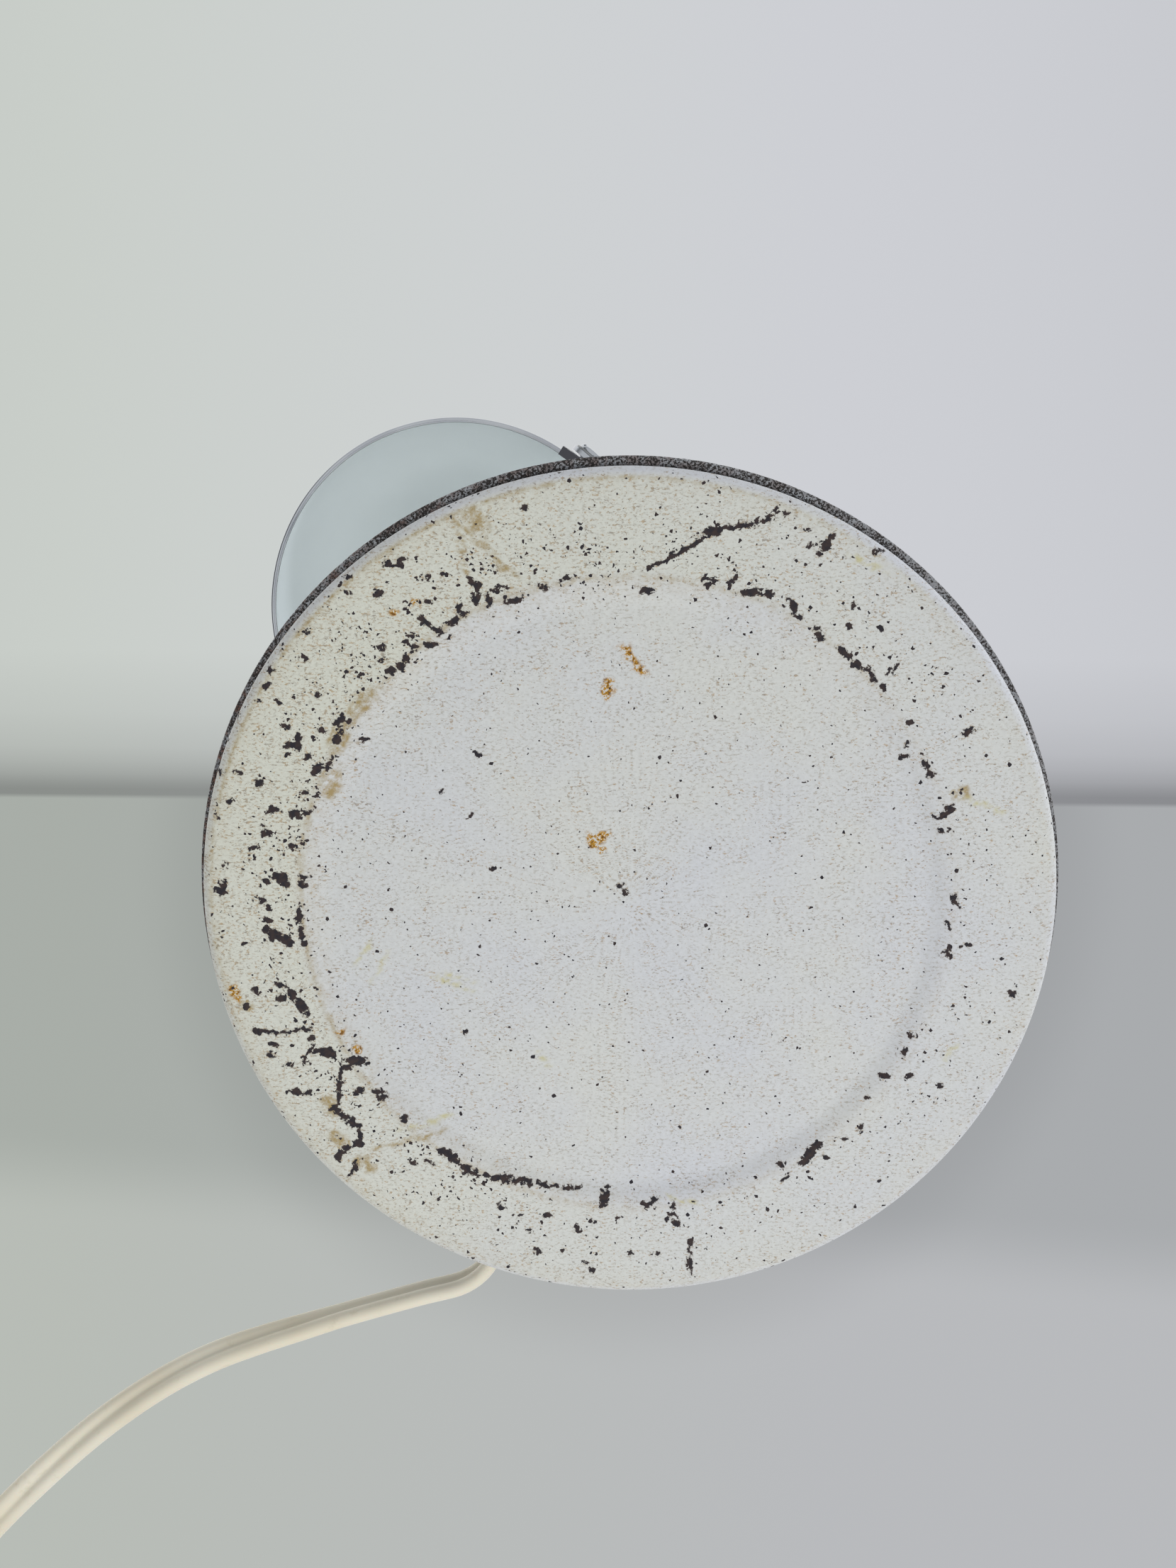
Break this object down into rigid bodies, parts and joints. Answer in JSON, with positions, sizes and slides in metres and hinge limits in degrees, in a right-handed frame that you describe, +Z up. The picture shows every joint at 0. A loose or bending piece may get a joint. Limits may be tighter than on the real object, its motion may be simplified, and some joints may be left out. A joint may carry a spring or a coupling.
{
  "type": "desk lamp",
  "caption": "Small desk lamp with a weighted round base, a straight stem, a swivelling half-ring yoke and a tilting chromed dome shade.",
  "frame": {"origin": "middle of the ring that the base stands on", "axes": "+Z up along the stem, the shade reaches towards -Y, the tilt axis runs along X"},
  "size_m": [0.3479, 0.226, 0.2514],
  "materials": {
    "chrome_plate": "old nickel-chrome plate, bright with fine pitting",
    "white_enamel": "white stove enamel, satin, chipped and stained",
    "black_bakelite": "black moulded bakelite, semi-gloss",
    "cast_iron": "rough sand-cast iron",
    "zinc_steel": "plain zinc-plated steel",
    "brass": "dull brass",
    "opal_glass": "opal glass",
    "ivory_cable": "ivory vinyl, slightly yellowed",
    "ivory_plastic": "ivory moulded plastic",
    "white_fibre": "fibre washer"
  },
  "bodies": {
    "base": {"bottom_pan": "white_enamel", "iron_weight": "cast_iron", "base_cover": "chrome_plate", "stem_nut": "zinc_steel", "stem_washer": "zinc_steel", "cord_bushing": "black_bakelite", "cord_clamp": "zinc_steel", "clamp_screws": "zinc_steel", "switch_body": "black_bakelite", "switch_nut": "chrome_plate", "stem_collar": "chrome_plate", "stem_tube": "chrome_plate", "stem_head": "chrome_plate", "lower_washer": "white_fibre", "upper_washer": "white_fibre", "swivel_nut": "zinc_steel", "stem_lead": "ivory_cable", "switch_lead": "ivory_cable", "mains_cord": "ivory_cable", "cord_coil": "ivory_cable", "cord_tail": "ivory_cable", "plug_body": "ivory_plastic", "plug_blades": "brass"},
    "button": {"switch_button": "black_bakelite"},
    "yoke_arm": {"swivel_hub": "chrome_plate", "hub_cap": "chrome_plate", "yoke": "chrome_plate", "yoke_screws": "zinc_steel", "lead_clips": "black_bakelite", "clip_rivets": "zinc_steel", "arm_lead": "ivory_cable"},
    "lamp_head": {"pivot_screw": "chrome_plate", "pivot_washers": "zinc_steel", "pivot_nut": "zinc_steel", "pivot_tube": "zinc_steel", "pivot_ring": "zinc_steel", "rim_grip_right": "black_bakelite", "rim_grip_left": "black_bakelite", "shade": "chrome_plate", "shade_ring": "black_bakelite", "neck_cup": "chrome_plate", "neck_cap": "black_bakelite", "holder_body": "black_bakelite", "holder_sleeve": "brass", "holder_contact": "brass", "bulb_cap": "brass", "bulb_glass": "opal_glass", "shade_lead": "ivory_cable"},
    "tilt_lock": {"tilt_knob": "black_bakelite"}
  },
  "joints": [
    {"name": "yoke_swivel", "type": "hinge", "parent": "base", "child": "yoke_arm", "pos_m": [0, 0, 0.171], "axis": [0, 0, 1], "range_deg": [-150, 150]},
    {"name": "shade_tilt", "type": "hinge", "parent": "yoke_arm", "child": "lamp_head", "pos_m": [0, -0.06671, 0.171], "axis": [1, 0, 0], "range_deg": [-45, 75]},
    {"name": "tilt_lock_turn", "type": "hinge", "parent": "lamp_head", "child": "tilt_lock", "pos_m": [-0.065, -0.06671, 0.171], "axis": [-1, 0, 0], "range_deg": [0, 90]},
    {"name": "switch_press", "type": "slide", "parent": "base", "child": "button", "axis": [0, 0, -1], "range_m": [0, 0.0025], "stiffness_N_per_m": 600, "springref_m": -0.0015}
  ]
}
